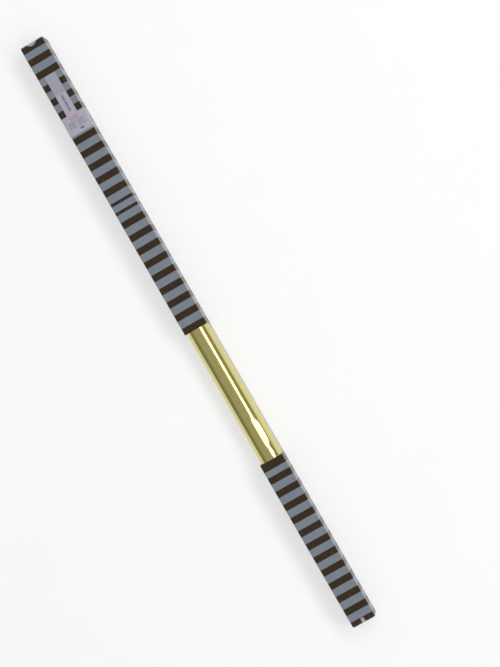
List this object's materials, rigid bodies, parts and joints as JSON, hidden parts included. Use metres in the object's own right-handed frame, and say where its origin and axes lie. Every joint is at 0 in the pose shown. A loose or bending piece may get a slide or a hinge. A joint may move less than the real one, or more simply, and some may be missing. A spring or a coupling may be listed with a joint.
{
  "type": "window carton with film roll",
  "caption": "Slim square printed window carton with a tuck-in closure at each end, holding a roll of mirror-gold film.",
  "frame": {"origin": "middle of the carton's back face", "axes": "+X along the carton towards its lower end, away from the labels; +Y to the right seen from the front with the labelled end up; +Z out of the front panel"},
  "size_m": [0.47, 0.0182, 0.0181],
  "materials": {
    "printed_board": "printed stripes, satin",
    "plain_board": "unprinted, matt",
    "shade_sticker_paper": "silvery grey, satin",
    "label_paper": "white sticker paper",
    "core_board": "wound kraft board",
    "gold_film": "mirror-gold metallised film",
    "clear_tape": "clear tape"
  },
  "bodies": {
    "carton": {"back_panel": "printed_board", "front_panel_upper": "printed_board", "front_panel_lower": "printed_board", "left_panel_upper": "printed_board", "left_panel_lower": "printed_board", "right_panel_upper": "printed_board", "right_panel_lower": "printed_board", "glue_flap_upper": "printed_board", "glue_flap_lower": "printed_board", "shade_sticker": "shade_sticker_paper", "name_label": "label_paper", "info_label": "label_paper"},
    "film_roll": {"core_tube": "core_board", "film_winding": "gold_film", "closing_tape": "clear_tape"},
    "upper_closure": {"upper_closure": "printed_board"},
    "upper_tongue": {"upper_tuck_tongue": "plain_board"},
    "upper_dust_flap_left": {"upper_dust_flap_left": "plain_board"},
    "upper_dust_flap_right": {"upper_dust_flap_right": "plain_board"},
    "lower_closure": {"lower_closure": "printed_board"},
    "lower_tongue": {"lower_tuck_tongue": "plain_board"},
    "lower_dust_flap_left": {"lower_dust_flap_left": "plain_board"},
    "lower_dust_flap_right": {"lower_dust_flap_right": "plain_board"}
  },
  "joints": [
    {"name": "upper_closure_hinge", "type": "hinge", "parent": "carton", "child": "upper_closure", "pos_m": [-0.2346, 0, 0.0004], "axis": [0, -1, 0], "range_deg": [0, 90]},
    {"name": "upper_tongue_fold", "type": "hinge", "parent": "upper_closure", "child": "upper_tongue", "pos_m": [-0.2346, 0, 0.0171], "axis": [0, 1, 0], "range_deg": [0, 31.5]},
    {"name": "upper_dust_flap_left_fold", "type": "hinge", "parent": "carton", "child": "upper_dust_flap_left", "pos_m": [-0.2341, -0.0086, 0.0087], "axis": [0, 0, 1], "range_deg": [0, 67.5]},
    {"name": "upper_dust_flap_right_fold", "type": "hinge", "parent": "carton", "child": "upper_dust_flap_right", "pos_m": [-0.2341, 0.0086, 0.0087], "axis": [0, 0, -1], "range_deg": [0, 67.5]},
    {"name": "lower_closure_hinge", "type": "hinge", "parent": "carton", "child": "lower_closure", "pos_m": [0.2346, 0, 0.0004], "axis": [0, 1, 0], "range_deg": [0, 90]},
    {"name": "lower_tongue_fold", "type": "hinge", "parent": "lower_closure", "child": "lower_tongue", "pos_m": [0.2346, 0, 0.0171], "axis": [0, -1, 0], "range_deg": [0, 31.5]},
    {"name": "lower_dust_flap_left_fold", "type": "hinge", "parent": "carton", "child": "lower_dust_flap_left", "pos_m": [0.2341, -0.0086, 0.0087], "axis": [0, 0, -1], "range_deg": [0, 67.5]},
    {"name": "lower_dust_flap_right_fold", "type": "hinge", "parent": "carton", "child": "lower_dust_flap_right", "pos_m": [0.2341, 0.0086, 0.0087], "axis": [0, 0, 1], "range_deg": [0, 67.5]},
    {"name": "roll_spin", "type": "hinge", "parent": "carton", "child": "film_roll", "pos_m": [0, 0, 0.009], "axis": [1, 0, 0], "continuous": true}
  ],
  "couplings": [
    {"joint": "upper_tongue_fold", "follows": "upper_closure_hinge", "ratio": 0.35},
    {"joint": "upper_dust_flap_left_fold", "follows": "upper_closure_hinge", "ratio": 0.75},
    {"joint": "upper_dust_flap_right_fold", "follows": "upper_closure_hinge", "ratio": 0.75},
    {"joint": "lower_tongue_fold", "follows": "lower_closure_hinge", "ratio": 0.35},
    {"joint": "lower_dust_flap_left_fold", "follows": "lower_closure_hinge", "ratio": 0.75},
    {"joint": "lower_dust_flap_right_fold", "follows": "lower_closure_hinge", "ratio": 0.75}
  ]
}
